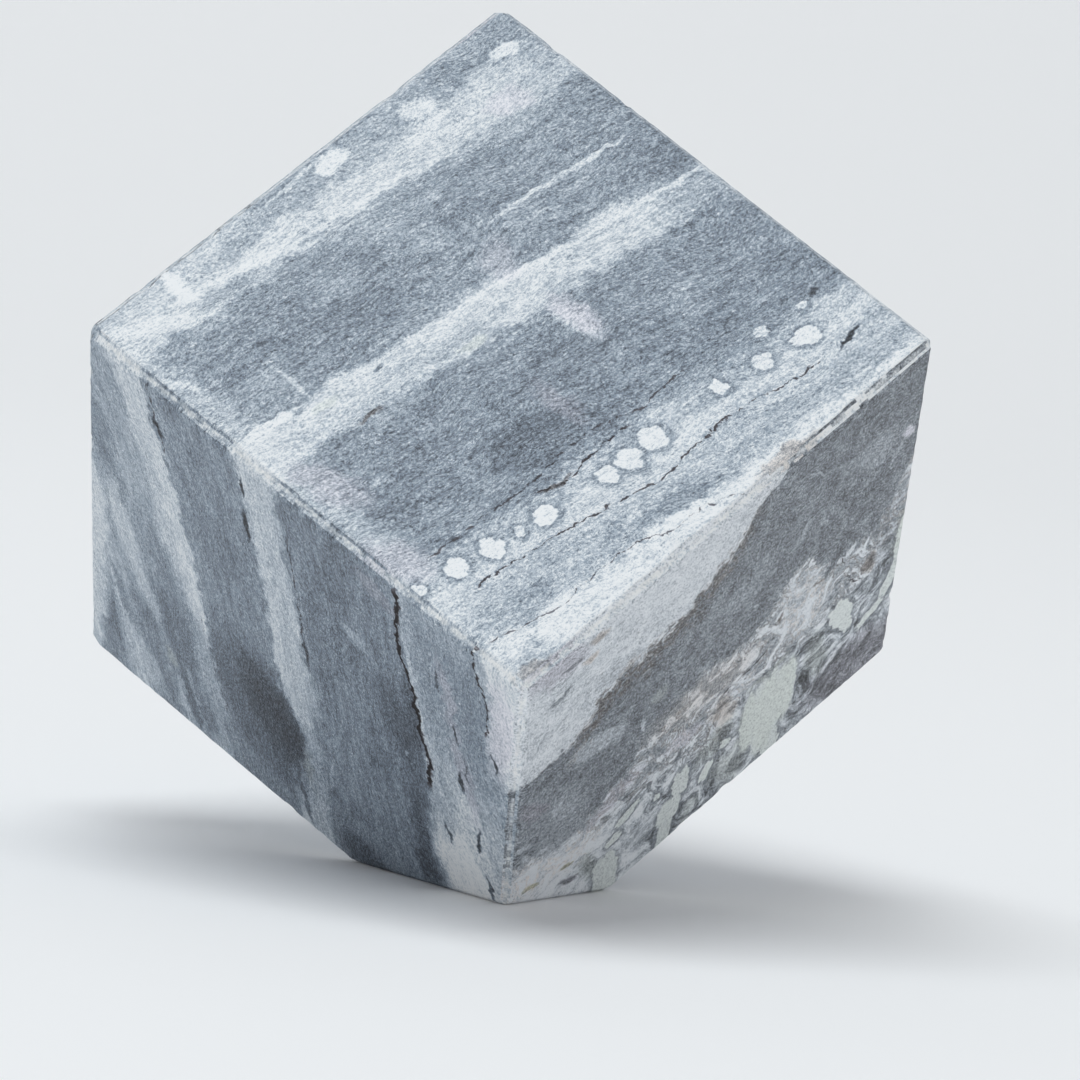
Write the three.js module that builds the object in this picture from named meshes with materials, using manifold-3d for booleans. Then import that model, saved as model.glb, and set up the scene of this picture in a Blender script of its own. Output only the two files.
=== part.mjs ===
// A decorative marble block: a sawn cuboid that stands tilted on one cut-off corner.
// Millimetres, +Z up. The origin is the centre of the foot, on the ground, and the edge that leans
// out over the foot points towards -Y.
import * as THREE from "three";
import { mergeVertices } from "three/addons/utils/BufferGeometryUtils.js";
import Module from "manifold-3d";

// Driving dimensions. The block's own axes start at the sharp corner that the foot cut takes away:
// X runs up to the right corner, Y up to the left corner and Z up the leaning front edge.
const SIDES = new THREE.Vector3(102.5, 103.5, 95);
// Where the foot cut crosses those three edges, measured from the lost corner.
const FOOT_CUT = new THREE.Vector3(29, 37.5, 27.5);
// Leg of the flat that is ground along every edge.
const ARRIS = 1.5;
// Leg of the finer flat around the foot.
const FOOT_ARRIS = 0.8;
// How far the seven other corners are knocked back, measured along their edges. The three letters say
// whether a corner is at the start (0) or the end (1) of the block's X, Y and Z.
const CORNER_WEAR = {
  "001": 2.7,
  "010": 4.6,
  "100": 3.8,
  "011": 4.0,
  "101": 3.0,
  "110": 3.4,
  "111": 3.4,
};

// Blue-grey honed stone.
const STONE = new THREE.MeshStandardMaterial({
  name: "marble",
  color: 0x8f98a3,
  roughness: 0.45,
  metalness: 0,
});

const wasm = await Module();
wasm.setup();

// A closed geometry as a solid that can be cut.
function solidFrom(geometry) {
  const bare = geometry.clone();
  bare.deleteAttribute("normal");
  bare.deleteAttribute("uv");
  const merged = mergeVertices(bare);
  return new wasm.Manifold(
    new wasm.Mesh({
      numProp: 3,
      vertProperties: merged.getAttribute("position").array,
      triVerts: new Uint32Array(merged.index.array),
    }),
  );
}

// The geometry of a cut solid.
function geometryFrom(solid) {
  const mesh = solid.getMesh();
  const geometry = new THREE.BufferGeometry();
  geometry.setAttribute("position", new THREE.BufferAttribute(mesh.vertProperties, 3));
  geometry.setIndex(new THREE.BufferAttribute(mesh.triVerts, 1));
  const faceted = geometry.toNonIndexed();
  faceted.computeVertexNormals();
  return faceted;
}

// A saw plane: the stone beyond it goes. The normal points out of the stone that stays, and the
// distance is how far the plane lies from the block's own origin.
function plane(direction, along) {
  const length = direction.length();
  return new THREE.Plane(direction.clone().divideScalar(length), -along / length);
}

// A box, larger than the block, with its inner side on the saw plane.
function cutter({ normal, constant }) {
  const size = 4 * Math.max(...SIDES.toArray());
  const box = new THREE.BoxGeometry(size, size, size);
  box.translate(0, 0, size / 2);
  box.applyQuaternion(new THREE.Quaternion().setFromUnitVectors(new THREE.Vector3(0, 0, 1), normal));
  const nearest = normal.clone().multiplyScalar(-constant);
  box.translate(nearest.x, nearest.y, nearest.z);
  return solidFrom(box);
}

// The six sawn sides, each with its outward direction and its distance along that direction.
const AXES = ["x", "y", "z"];
const sides = AXES.flatMap((axis, index) =>
  [0, 1].map((end) => {
    const outward = new THREE.Vector3().setComponent(index, end === 1 ? 1 : -1);
    return { axis, end, outward, reach: end * SIDES[axis] };
  }),
);

// The flats along the twelve edges, each between two sides that meet.
function edgeFlats() {
  const planes = [];
  for (const [index, first] of sides.entries()) {
    for (const second of sides.slice(index + 1)) {
      if (first.axis !== second.axis) {
        const direction = first.outward.clone().add(second.outward);
        planes.push(plane(direction, first.reach + second.reach - ARRIS));
      }
    }
  }
  return planes;
}

// The small facets on the seven corners that are left.
function cornerFacets() {
  return Object.entries(CORNER_WEAR).map(([ends, wear]) => {
    const direction = new THREE.Vector3();
    let reach = 0;
    AXES.forEach((axis, index) => {
      const side = sides.find((one) => one.axis === axis && one.end === Number(ends[index]));
      direction.add(side.outward);
      reach += side.reach;
    });
    return plane(direction, reach - wear);
  });
}

// The foot: one flat cut across the lost corner, through its three marks on the edges.
const footDirection = new THREE.Vector3(-1 / FOOT_CUT.x, -1 / FOOT_CUT.y, -1 / FOOT_CUT.z);
const foot = plane(footDirection, -1);

// The fine flats between the foot and the three sides around it.
function footFlats() {
  return sides
    .filter((side) => side.end === 0)
    .map((side) => {
      const across = Math.sin(foot.normal.angleTo(side.outward));
      const direction = side.outward.clone().add(foot.normal);
      return plane(direction, side.reach - foot.constant - FOOT_ARRIS * across);
    });
}

// The whole block in its own axes.
function blockGeometry() {
  const blank = new THREE.BoxGeometry(SIDES.x, SIDES.y, SIDES.z);
  blank.translate(SIDES.x / 2, SIDES.y / 2, SIDES.z / 2);
  const cuts = [...edgeFlats(), ...cornerFacets(), foot, ...footFlats()];
  const block = cuts.reduce((stone, cut) => stone.subtract(cutter(cut)), solidFrom(blank));
  return geometryFrom(block);
}

// Stands the block on its foot: the cut goes down flat, with the front edge leaning towards -Y.
function standOnFoot(mesh) {
  const up = foot.normal.clone().negate();
  const forward = new THREE.Vector3(0, 0, 1).projectOnPlane(up).normalize();
  const back = forward.clone().negate();
  const right = new THREE.Vector3().crossVectors(back, up);
  const toBlock = new THREE.Matrix4().makeBasis(right, back, up);
  mesh.quaternion.setFromRotationMatrix(toBlock.transpose());
  const footCentre = FOOT_CUT.clone().divideScalar(3);
  mesh.position.copy(footCentre.applyQuaternion(mesh.quaternion).negate());
}

const marbleBlock = new THREE.Mesh(blockGeometry(), STONE);
marbleBlock.name = "marble_block";
standOnFoot(marbleBlock);

const part = new THREE.Group();
part.add(marbleBlock);

export default part;
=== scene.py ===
import math
import random
from collections import namedtuple

import bmesh
import bpy
from mathutils import Matrix, Vector, kdtree, noise


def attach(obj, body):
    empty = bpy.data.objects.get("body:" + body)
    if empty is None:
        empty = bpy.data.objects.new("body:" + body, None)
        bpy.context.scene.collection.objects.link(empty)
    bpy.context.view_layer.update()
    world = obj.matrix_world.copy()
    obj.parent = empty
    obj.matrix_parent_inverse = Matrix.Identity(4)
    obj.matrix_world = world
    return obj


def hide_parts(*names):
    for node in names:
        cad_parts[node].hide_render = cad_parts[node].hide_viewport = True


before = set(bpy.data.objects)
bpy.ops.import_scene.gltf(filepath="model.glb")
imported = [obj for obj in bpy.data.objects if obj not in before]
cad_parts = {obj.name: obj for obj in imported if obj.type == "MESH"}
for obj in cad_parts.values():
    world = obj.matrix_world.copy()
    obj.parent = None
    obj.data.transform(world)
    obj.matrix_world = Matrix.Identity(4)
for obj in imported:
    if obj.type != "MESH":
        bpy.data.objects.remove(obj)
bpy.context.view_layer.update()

bl_info = {
    "name": "Marble Block",
    "version": (1, 0, 0),
    "blender": (4, 5, 0),
    "location": "3D View > Sidebar > Marble",
    "description": "A honed block of banded marble that stands on one cut-off corner",
    "category": "Add Mesh",
}

NODE = "marble_block"
SIDE_NAMES = ("upper", "left", "right")
BODY = "root"
MM = 0.001
SEED = 11  # of the chips and of the pebbles' uneven ends

# --- The block's own axes -------------------------------------------------------------------------
# Across the stone, sizes are in millimetres along the block's own edges: X runs up to the right
# corner, Y up to the left corner and Z up the leaning front edge. All three start at the lost corner.


class BlockAxes:
    """The block's own axes and sides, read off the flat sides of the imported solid."""

    def __init__(self, mesh):
        sums = {}
        for face in mesh.polygons:
            key = tuple(round(number, 2) for number in face.normal)
            sums[key] = sums.get(key, Vector()) + face.normal * face.area
        flats = sorted(sums.values(), key=lambda total: total.length)[-6:]  # the six sides
        rising = [flat.normalized() for flat in flats if flat.z > 0]
        right = max(rising, key=lambda axis: axis.x)
        left = min(rising, key=lambda axis: axis.x)
        front = min(rising, key=lambda axis: axis.y)
        axes = (right, left, front)
        reaches = [[axis.dot(vertex.co) for vertex in mesh.vertices] for axis in axes]
        corner = sum((axis * min(reach) for axis, reach in zip(axes, reaches)), Vector())
        turn = Matrix(axes).transposed().to_4x4()
        self.to_row = Matrix.Translation(corner) @ turn @ Matrix.Scale(MM, 4)
        self.from_row = self.to_row.inverted()
        self.sides = Vector([(max(reach) - min(reach)) / MM for reach in reaches])

    def direction(self, axis):
        """The way that one of the axes, 0 to 2, runs."""
        return self.to_row.to_3x3().col[axis].normalized()


AXES = BlockAxes(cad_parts[NODE].data)


# --- Marks on the three sides that show ------------------------------------------------------------
# A mark runs from start to end on its side of the block, in millimetres: on the upper side the two
# numbers are X and Y, on the left side Y and Z, and on the right side X and Z. Width is half of what it
# is across. Tone is the lightness from 0, black, to 1, white: the stone's own, except for a few patches
# near the foot that are made lighter as painted light. Soft is the share of the width that fades out,
# strength is how far the mark hides what lies under it, and tint names one of TINTS.

Mark = namedtuple("Mark", "start end width tone soft strength tint", defaults=(0.5, 0.85, None))

UPPER_CLOUDS = [
    Mark((2.5, 5), (2.5, 100), 4.5, 0.90, 0.9, 0.5),
    Mark((98, 92), (97, 35), 9.0, 0.56, 0.9, 0.45),
    Mark((22, 98), (50, 94), 3.5, 0.90, 0.9, 0.7),
    Mark((66, 45.5), (97, 43.5), 4.6, 0.59, 0.8, 0.8),
    Mark((18, 70.5), (34, 68), 3.0, 0.60, 0.9, 0.7),
    Mark((20, 56), (30, 55), 3.0, 0.72, 0.9, 0.5),
    Mark((96, 80), (102, 74), 4.0, 0.58, 0.9, 0.6),
    Mark((74, 88), (94, 86), 5.0, 0.78, 0.9, 0.5),
    Mark((2, 97), (19, 98), 6.5, 0.85, 0.7),
    Mark((20, 101.5), (36, 102), 2.2, 0.86, 0.7),
    Mark((24, 98), (60, 96.5), 2.0, 0.68, 0.8),
    Mark((17, 92.5), (30, 91.5), 1.5, 0.66, 0.8, 0.7),
    Mark((38, 91.5), (50, 89.5), 1.0, 0.62, 0.8, 0.7),
    Mark((50, 91), (70, 90), 1.8, 0.84, 0.8, 0.6),
    Mark((84, 87.5), (90, 87), 2.2, 0.88, 0.9, 0.6, "lilac"),
    Mark((52, 83), (56, 75), 3.5, 0.72, 0.9, 0.8),
    Mark((34, 84), (41, 78), 3.0, 0.66, 0.9, 0.6),
    Mark((63, 66), (60, 62), 3.0, 0.76, 0.9, 0.5, "lilac"),
    Mark((22, 75), (48, 72), 4.0, 0.54, 0.9, 0.7),
    Mark((12, 73), (16, 73), 2.5, 0.70, 0.8, 0.6),
    Mark((55, 58), (60, 57), 4.5, 0.87, 0.9, 0.7),
    Mark((94, 58), (100, 57), 3.0, 0.53, 0.9, 0.8),
    Mark((5, 56), (8, 46), 3.0, 0.73, 0.9, 0.7, "lilac"),
    Mark((2, 36), (5, 29), 3.5, 0.76, 0.9, 0.7, "lilac"),
    Mark((31, 36), (44, 33), 5.0, 0.45, 0.9, 0.8),
    Mark((45, 29), (60, 28), 3.0, 0.52, 0.9, 0.7),
    Mark((46, 40), (46.5, 32), 2.2, 0.62, 0.9, 0.7, "lilac"),
    Mark((61.5, 51), (62, 43), 2.4, 0.80, 0.9, 0.8, "lilac"),
    Mark((26, 38), (26.5, 31), 2.2, 0.64, 0.9, 0.6),
    Mark((76, 35.5), (78.5, 34.5), 1.8, 0.70, 0.9, 0.7),
    Mark((3, 3), (9, 2.5), 3.0, 0.72, 0.9, 0.8),
    Mark((40, 8.5), (53, 6.5), 2.0, 0.57, 0.8, 0.8),
    Mark((12, 12.5), (20, 12.5), 1.6, 0.64, 0.8, 0.7),
    Mark((30, 11.5), (35, 11.5), 1.2, 0.60, 0.8, 0.7),
    Mark((70, 13), (98, 10), 2.5, 0.84, 0.8, 0.6),
    Mark((0.5, 66), (1, 58), 2.5, 0.92, 0.9, 0.7),
    Mark((60, 2), (72, 1), 1.5, 0.66, 0.8, 0.7, "brown"),
]

UPPER_MARKS = [
    Mark((0, 67.8), (14, 66.2), 0.8, 1.05, 0.5, 0.9),
    Mark((54, 61.6), (72, 57.8), 0.7, 1.0, 0.6, 0.85),
    Mark((72, 57.8), (102, 53.6), 0.6, 0.96, 0.6, 0.8),
    Mark((68, 71.2), (80, 69.8), 0.5, 0.98, 0.5, 0.9),
    Mark((80, 69.8), (96, 67.6), 0.5, 0.94, 0.6, 0.85),
    Mark((60, 50), (61.5, 42), 1.6, 0.90, 0.9, 0.6),
    Mark((31, 25.2), (35, 24.3), 0.5, 0.28, 0.9, 0.7, "brown"),
    Mark((34, 23.8), (37.5, 24.6), 0.4, 0.34, 0.9, 0.6, "brown"),
    Mark((26, 25.4), (29, 25.6), 0.3, 0.38, 0.9, 0.6),
    Mark((44, 24.6), (50, 25.0), 0.3, 0.40, 0.9, 0.6),
    Mark((1, 2.6), (8, 1.4), 0.9, 0.56, 0.9, 0.6, "brown"),
    Mark((1, 87), (5, 80), 0.7, 0.95, 0.9, 0.7),
    Mark((2, 99), (15, 92), 1.6, 1.0, 0.9, 0.7),
    Mark((16, 96), (40, 91), 0.9, 1.0, 0.9, 0.75),
    Mark((40, 91), (66, 88), 0.8, 0.98, 0.9, 0.7),
    Mark((53, 99), (58, 99.3), 1.9, 1.0, 0.5, 0.95),
    Mark((40, 100.4), (57, 101), 0.5, 0.90, 0.6),
    Mark((72.5, 98), (77, 96), 2.1, 0.92, 0.6, 0.9),
    Mark((93, 96), (97, 95), 1.6, 0.98, 0.4, 0.95),
    Mark((17.6, 102.5), (17.3, 95), 1.5, 1.1, 0.9, 0.95),
    Mark((44, 87.4), (56, 87), 0.5, 0.84, 0.8, 0.8),
    Mark((71, 84.8), (81, 84.4), 0.5, 0.80, 0.8, 0.7),
    Mark((92, 83.3), (102, 84.5), 0.6, 0.82, 0.8, 0.8),
    Mark((2, 79.9), (9, 79.7), 0.35, 0.84, 0.7, 0.8),
    Mark((17.3, 75.5), (17.2, 66), 0.45, 0.86, 0.8, 0.8),
    Mark((15.4, 75.5), (15.3, 72), 0.3, 0.76, 0.8, 0.7),
    Mark((14.2, 75), (14.1, 72.5), 0.25, 0.74, 0.8, 0.6),
    Mark((26, 74), (27.5, 74.4), 0.9, 0.74, 0.7, 0.7),
    Mark((65, 71), (75, 70.4), 0.35, 0.84, 0.8, 0.8),
    Mark((75, 70.3), (81, 69.3), 0.4, 0.86, 0.8, 0.8),
    Mark((80, 69.4), (94, 67.8), 0.5, 0.88, 0.8, 0.8),
    Mark((80.5, 66.3), (88, 65.8), 0.25, 0.76, 0.8, 0.8),
    Mark((0, 67.8), (11, 66.8), 0.45, 0.92, 0.7, 0.8),
    Mark((8, 65.2), (12, 64.6), 0.9, 0.84, 0.8, 0.8),
    Mark((15.5, 63.6), (20, 63), 1.0, 0.88, 0.7, 0.8, "green"),
    Mark((42.5, 55.2), (47, 54.6), 0.9, 0.80, 0.8, 0.8, "green"),
    Mark((85.5, 55), (86.5, 54.5), 1.2, 0.88, 0.8, 0.8),
    Mark((12, 46.4), (14, 45.6), 1.0, 0.76, 0.8, 0.7),
    Mark((19.5, 56.8), (24.5, 56.2), 0.45, 0.30, 0.9, 0.7, "brown"),
    Mark((29, 62.4), (31, 62.7), 0.4, 0.34, 0.9, 0.6),
    Mark((48, 14.7), (66, 15.8), 1.1, 0.86, 0.9, 0.7),
    Mark((31.5, 25.3), (33.5, 24.3), 0.5, 0.25, 0.9, 0.8, "brown"),
    Mark((89.2, 10.5), (94.5, 11.3), 0.42, 0.22, 0.8, 0.95),
    Mark((93.5, 21.9), (95.2, 21.9), 0.4, 0.30, 0.9, 0.8),
]

# Pale pebbles in the upper side, each drawn in a darker rim.
UPPER_PEBBLES = [
    Mark((9.2, 25.4), (10.0, 23.8), 1.8, 0.93),
    Mark((16.0, 24.0), (17.4, 22.6), 1.8, 0.90),
    Mark((22.3, 22.4), (22.6, 22.2), 0.9, 0.82),
    Mark((27.3, 22.0), (28.8, 21.4), 1.9, 0.92),
    Mark((40.8, 20.3), (41.8, 19.7), 1.7, 0.88),
    Mark((45.6, 20.6), (47.4, 19.0), 2.0, 0.90),
    Mark((51.5, 20.4), (53.0, 19.4), 2.3, 0.89),
    Mark((68.1, 20.0), (68.3, 18.6), 1.2, 0.91),
    Mark((76.9, 18.1), (78.2, 17.4), 1.8, 0.85),
    Mark((84.8, 16.6), (88.2, 15.9), 1.5, 0.90),
    Mark((81.2, 22.5), (83.0, 22.0), 1.0, 0.80),
    Mark((91.0, 21.2), (91.8, 21.0), 0.8, 0.80),
    Mark((1.0, 26.2), (2.4, 25.6), 1.0, 0.86),
]

LEFT_CLOUDS_AND_PAINTED_LIGHT = [
    Mark((92, 92), (86, 62), 2.6, 0.84, 0.8, 0.8),
    Mark((86, 62), (78, 38), 2.4, 0.84, 0.8, 0.85),
    Mark((78, 38), (67, 12), 1.9, 0.70, 0.7, 0.8),
    Mark((67, 12), (63, 1), 1.8, 0.64, 0.8, 0.7),
    Mark((84, 30), (68, 3), 5.5, 0.54, 0.9, 0.6),
    Mark((95, 80), (88, 58), 2.2, 0.76, 0.9, 0.7),
    Mark((86, 50), (77, 22), 3.6, 0.60, 0.8, 0.8),
    Mark((82, 34), (76, 20), 2.4, 0.52, 0.9, 0.7),
    Mark((97, 56), (90, 32), 3.0, 0.90, 0.9, 0.8),
    Mark((99, 42), (94, 28), 1.6, 0.72, 0.9, 0.7),
    Mark((94, 28), (92, 19), 1.6, 0.70, 0.9, 0.7),
    Mark((101.5, 60), (101.5, 5), 3.5, 0.93, 0.9, 0.8),
    Mark((85.5, 18), (79, 2), 1.3, 0.60, 0.7, 0.8),
    Mark((90, 14), (84, 5), 2.6, 0.82, 0.9, 0.6),
    Mark((77.5, 18), (74.5, 6), 0.8, 0.72, 0.8, 0.7),
    Mark((74, 12), (71, 2), 1.4, 0.54, 0.9, 0.6),
    Mark((81.5, 19), (80.5, 16.5), 1.2, 0.70, 0.8, 0.7, "green"),
    Mark((66, 46), (60, 42), 5.0, 0.68, 0.9, 0.6),
    Mark((64, 38), (52, 10), 9.0, 0.46, 0.9, 0.7),
    Mark((60, 34), (52, 18), 6.0, 0.35, 0.8, 0.85),
    Mark((70, 30), (60, 12), 3.5, 0.46, 0.9, 0.6),
    Mark((54, 32), (50, 22), 3.2, 0.33, 0.7, 0.7),
    Mark((59, 7), (52, 4), 2.6, 0.62, 0.9, 0.6),
    Mark((47, 30), (42.5, 14), 3.0, 0.66, 0.8, 0.6),
    Mark((48, 24), (46, 14), 1.2, 0.56, 0.9, 0.6, "green"),
    Mark((62, 90), (57, 80), 3.5, 0.80, 0.9, 0.6),
    Mark((57, 76), (54, 60), 3.0, 0.79, 0.9, 0.6),
    Mark((51, 48), (46, 38), 3.0, 0.80, 0.9, 0.7),
    Mark((37, 89), (31, 87), 2.5, 0.66, 0.6, 0.6, "lilac"),
    Mark((39, 70.2), (36.5, 69.8), 1.4, 0.76, 0.9, 0.8),
    Mark((36, 42.5), (34.5, 42), 3.2, 0.60, 0.8, 0.5),
    Mark((30, 62), (22, 46), 4.5, 0.43, 0.9, 0.8),
    Mark((22, 46), (18.5, 20), 2.8, 0.49, 0.9, 0.7),
    Mark((19, 22), (16.5, 17), 2.2, 0.38, 0.8, 0.7),
    Mark((40, 26.5), (24, 24), 0.9, 0.62, 0.9, 0.7),
    Mark((37.5, 15), (27, 13.5), 1.0, 0.64, 0.9, 0.6),
    Mark((36.5, 8.5), (31, 6), 3.3, 0.44, 0.5, 0.9),
    Mark((12.5, 86), (9.5, 72), 3.0, 0.60, 0.9, 0.8),
    Mark((9, 72), (4.5, 56), 3.4, 0.64, 0.9, 0.7),
    Mark((22, 92), (12, 58), 7.0, 0.60, 0.9, 0.75),
    Mark((19, 82), (14, 66), 1.6, 0.74, 0.8, 0.7, "lilac"),
    Mark((14, 66), (9, 46), 1.8, 0.74, 0.8, 0.7, "lilac"),
    Mark((5, 88), (3.5, 66), 3.0, 0.90, 0.9, 0.8, "lilac"),
    # Painted light near the foot: the next two marks are made lighter than the stone to stand in for light
    # thrown up from the floor. The second is also a pale lens in the stone.
    Mark((9, 44), (3, 24), 6.0, 0.98, 0.9, 0.5),
    Mark((13, 34), (5, 20), 7.0, 1.05, 0.9, 0.95),
    Mark((17, 44), (14, 34), 2.0, 0.70, 0.9, 0.6),
    Mark((9, 38), (2, 29), 1.2, 0.82, 0.8, 0.6),
]

LEFT_MARKS = [
    Mark((96.5, 31), (92, 18), 1.1, 0.58, 0.9, 0.8),
    Mark((85, 36), (79, 16), 1.2, 0.50, 0.9, 0.8),
    Mark((79, 16), (74.5, 3), 1.1, 0.46, 0.9, 0.8),
    Mark((86.5, 16), (80, 3), 0.8, 0.56, 0.9, 0.8),
    Mark((89.5, 36), (85, 25), 1.4, 0.84, 0.9, 0.7),
    Mark((71, 36), (66, 20), 2.2, 0.50, 0.9, 0.6),
    Mark((55, 39), (49.5, 14), 0.5, 0.40, 0.9, 0.7),
    Mark((49.5, 14), (46, 3), 0.6, 0.40, 0.9, 0.7),
    Mark((27.2, 84), (22.2, 63), 0.6, 0.84, 0.9, 0.85),
    Mark((22.2, 64), (18.0, 44), 0.65, 0.86, 0.9, 0.85),
    Mark((26.5, 72), (21.5, 52), 1.6, 0.38, 0.9, 0.7),
    Mark((23.5, 42), (17, 20), 1.6, 0.40, 0.9, 0.6),
    Mark((86.3, 85), (85.8, 84), 0.8, 0.25, 0.8, 0.9),
    Mark((85, 83), (84.5, 82.2), 0.7, 0.28, 0.8, 0.8),
    Mark((83.4, 75.5), (82.9, 74.8), 0.6, 0.40, 0.9, 0.7),
    Mark((65.8, 88.5), (65, 84.5), 0.5, 0.22, 0.8, 0.9),
    Mark((64.7, 80), (63.4, 73), 0.5, 0.20, 0.8, 0.9),
    Mark((58.8, 68.7), (58.2, 67.5), 0.8, 0.88, 0.7, 0.8),
    Mark((56.5, 48), (53, 44.5), 0.6, 0.84, 0.9, 0.7),
    Mark((41.9, 28), (41.7, 20), 0.45, 0.80, 0.8, 0.7),
    Mark((45.5, 12), (43.5, 2), 0.6, 0.72, 0.8, 0.7),
    Mark((24.7, 49.3), (24.3, 48.8), 0.4, 0.80, 0.6, 0.8),
    Mark((12.2, 56), (11.6, 51.5), 0.55, 0.22, 0.7, 0.9),
    Mark((19.6, 80), (18.5, 75), 0.35, 0.34, 0.8, 0.8),
    Mark((14.6, 68), (13.3, 64.2), 0.4, 0.28, 0.8, 0.85),
    Mark((11.3, 61), (10.2, 55), 0.3, 0.36, 0.9, 0.7),
    Mark((7.2, 43.5), (7.0, 37), 0.45, 0.26, 0.8, 0.85),
    Mark((14.6, 38), (13.0, 33.5), 0.45, 0.34, 0.9, 0.8),
    Mark((5.4, 69), (4.2, 65), 0.45, 0.28, 0.8, 0.85),
    Mark((4.6, 32), (2.6, 26.5), 0.4, 0.30, 0.8, 0.8),
    Mark((49.9, 57), (48.3, 51.5), 0.4, 0.28, 0.9, 0.8),
    Mark((54.9, 82), (53.5, 77), 0.3, 0.34, 0.9, 0.7),
]

RIGHT_CLOUDS_AND_PAINTED_LIGHT = [
    Mark((4, 93), (13, 90), 4.2, 0.72, 0.9, 0.9, "lilac"),
    Mark((8, 81), (11, 82), 3.0, 0.76, 0.9, 0.7),
    Mark((22, 76), (30, 73.5), 3.0, 0.74, 0.9, 0.8),
    Mark((30, 90), (46, 84), 5.0, 0.93, 0.9, 0.6),
    Mark((4, 68.5), (12, 68), 2.5, 0.92, 0.9, 0.7),
    Mark((52, 77), (48, 74), 3.0, 0.50, 0.9, 0.7),
    Mark((86, 76), (95, 73), 4.5, 0.66, 0.9, 0.7),
    Mark((52, 64), (62, 65), 3.5, 0.66, 0.9, 0.6),
    Mark((62, 61), (79, 61.5), 1.8, 0.50, 0.9, 0.8),
    Mark((16, 58.5), (27, 54), 3.4, 0.72, 0.5, 0.9),
    Mark((3, 54.5), (8.5, 48.5), 2.0, 0.50, 0.7, 0.9, "lilac"),
    Mark((12, 46), (18, 40), 3.0, 0.64, 0.8, 0.8),
    Mark((10, 37.5), (20, 33), 4.0, 0.58, 0.7, 0.9),
    Mark((22, 44), (32, 44), 3.0, 0.50, 0.8, 0.8),
    Mark((36, 55), (38, 54), 1.8, 0.68, 0.9, 0.7, "green"),
    Mark((1, 36), (3, 33), 2.5, 0.76, 0.9, 0.8),
    Mark((0, 29.5), (18, 30.5), 1.8, 0.86, 0.8, 0.8),
    Mark((22, 31), (32, 35), 2.5, 0.74, 0.9, 0.8, "lilac"),
    Mark((42, 33), (48, 31.5), 2.5, 0.84, 0.9, 0.8, "lilac"),
    Mark((58, 34), (62, 31), 3.2, 0.84, 0.9, 0.7),
    Mark((73, 50), (73.5, 49), 5.4, 0.80, 0.6, 0.9),
    Mark((74, 46), (77, 36), 6.5, 0.86, 0.8, 0.9),
    Mark((54, 33), (56, 27), 3.0, 0.68, 0.9, 0.7, "brown"),
    Mark((38, 44), (60, 41), 5.0, 0.70, 0.9, 0.4, "brown"),
    Mark((92, 38.5), (92.5, 36.5), 2.2, 0.50, 0.9, 0.9, "brown"),
    Mark((99.5, 58), (99, 47), 2.4, 0.88, 0.8, 0.85),
    Mark((101, 46), (100, 34), 2.0, 0.80, 0.8, 0.8, "green"),
    Mark((84, 9), (101, 4), 9.0, 0.42, 0.8, 0.95, "lilac"),
    Mark((97, 60), (99, 8), 5.0, 0.54, 0.9, 0.6),
    Mark((98, 95), (99, 66), 4.5, 0.50, 0.9, 0.6),
    # Painted light: the next two pale patches near the foot are lighter than the stone. They stand in for
    # light thrown up from the floor.
    Mark((2, 30), (24, 12), 8.5, 1.04, 0.9, 0.9),
    Mark((20, 24), (32, 2), 8.0, 1.00, 0.9, 0.75),
    Mark((2, 52), (15, 37), 8.0, 0.68, 0.9, 0.4),
    Mark((56, 7), (58, 1), 4.0, 0.52, 0.9, 0.7),
    Mark((62.8, 26), (62.8, 9), 2.7, 0.98, 0.4, 0.95, "green"),
    Mark((67.5, 26), (67.5, 5), 3.2, 0.98, 0.4, 0.95, "green"),
    Mark((72.2, 26), (72.2, 9), 2.7, 0.98, 0.4, 0.95, "green"),
    Mark((62, 29.0), (73, 29.6), 1.0, 0.70, 0.5, 0.9, "green"),
    Mark((22, 13), (20, 20), 2.0, 0.62, 0.9, 0.8, "green"),
    Mark((34, 15), (36, 10), 4.0, 0.66, 0.9, 0.7),
    Mark((56, 24), (52, 20), 3.5, 0.60, 0.9, 0.8, "green"),
    Mark((56, 12), (60, 6), 4.0, 0.58, 0.9, 0.8, "green"),
    Mark((79, 28), (81, 16), 2.8, 0.58, 0.9, 0.8, "green"),
    Mark((50, 8), (48, 3), 2.0, 0.62, 0.9, 0.7, "green"),
    Mark((64, 5), (80, 4), 2.6, 0.78, 0.9, 0.7),
]

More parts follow.
